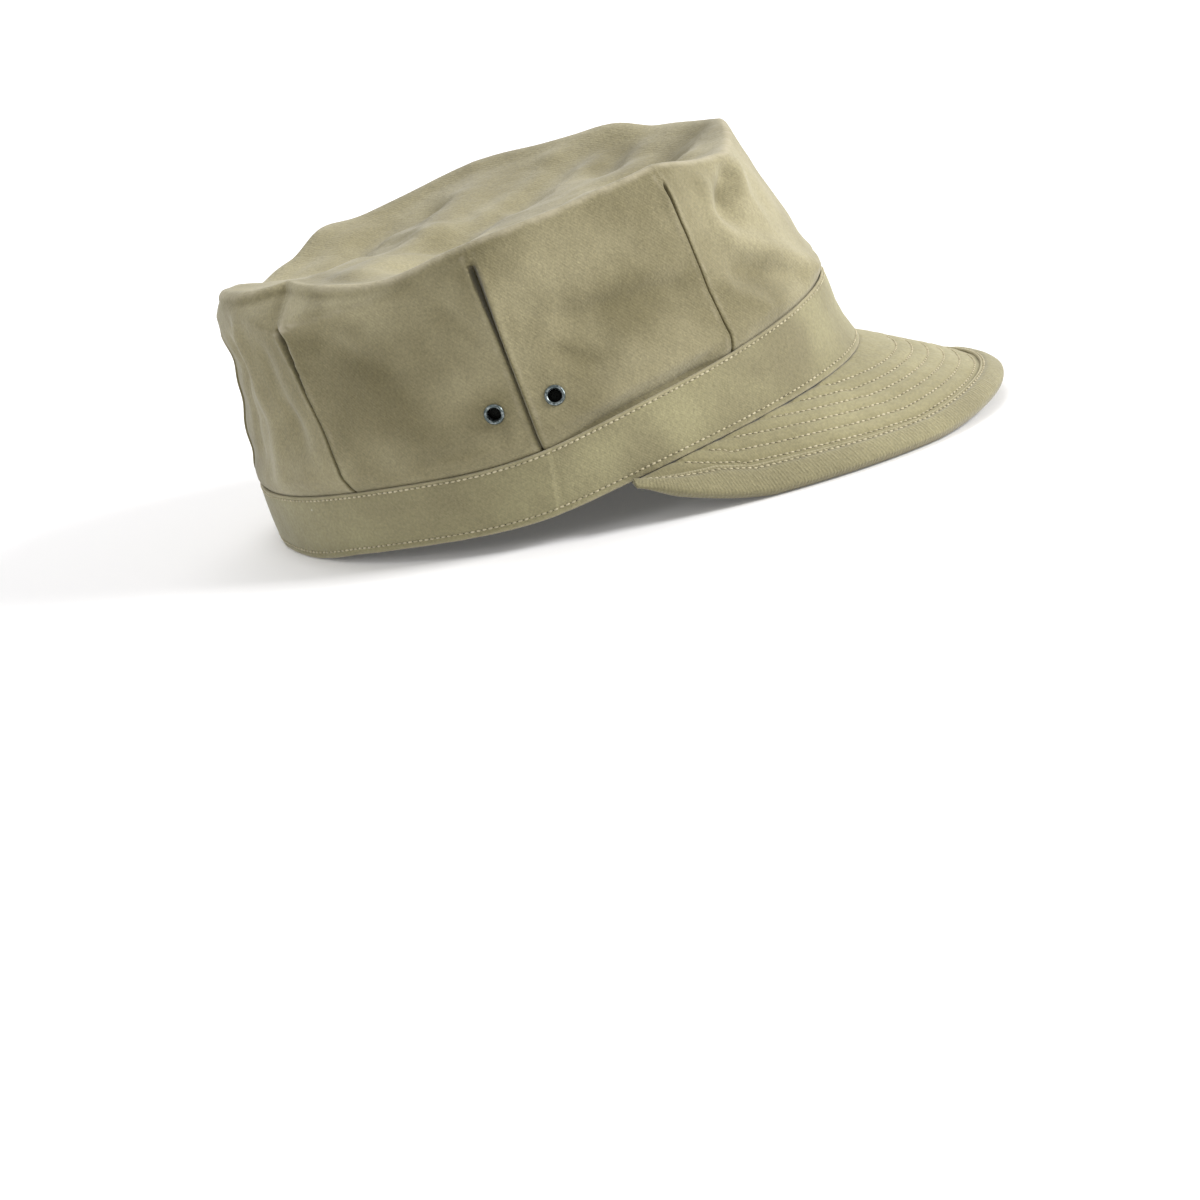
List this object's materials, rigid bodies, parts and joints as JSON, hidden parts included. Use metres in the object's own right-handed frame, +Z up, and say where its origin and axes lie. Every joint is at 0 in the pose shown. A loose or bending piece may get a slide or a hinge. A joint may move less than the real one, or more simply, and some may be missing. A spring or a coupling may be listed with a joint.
{
  "type": "field cap",
  "caption": "Olive cotton-twill field cap with a darted flat-topped crown, stitched band, short quilted brim with a bound edge and vent eyelets at the sides.",
  "frame": {"origin": "middle of the bounding box's bottom face, on the surface that the cap rests on", "axes": "-Y towards the front of the brim, -X towards the wearer's right, +Z up"},
  "size_m": [0.172, 0.2616, 0.1087],
  "materials": {
    "crown_twill": "olive cotton twill, matt, slightly washed out on the folds",
    "band_twill": "olive cotton twill strip, two rows of topstitching",
    "brim_twill": "olive cotton twill, quilted in rows of stitching",
    "binding_twill": "olive herringbone-like binding strip",
    "eyelet_metal": "dark zinc-grey, satin"
  },
  "bodies": {
    "root": {"crown": "crown_twill", "band": "band_twill", "brim": "brim_twill", "brim_binding": "binding_twill", "eyelet_right_front": "eyelet_metal", "eyelet_right_rear": "eyelet_metal", "eyelet_left_front": "eyelet_metal", "eyelet_left_rear": "eyelet_metal"}
  },
  "joints": []
}
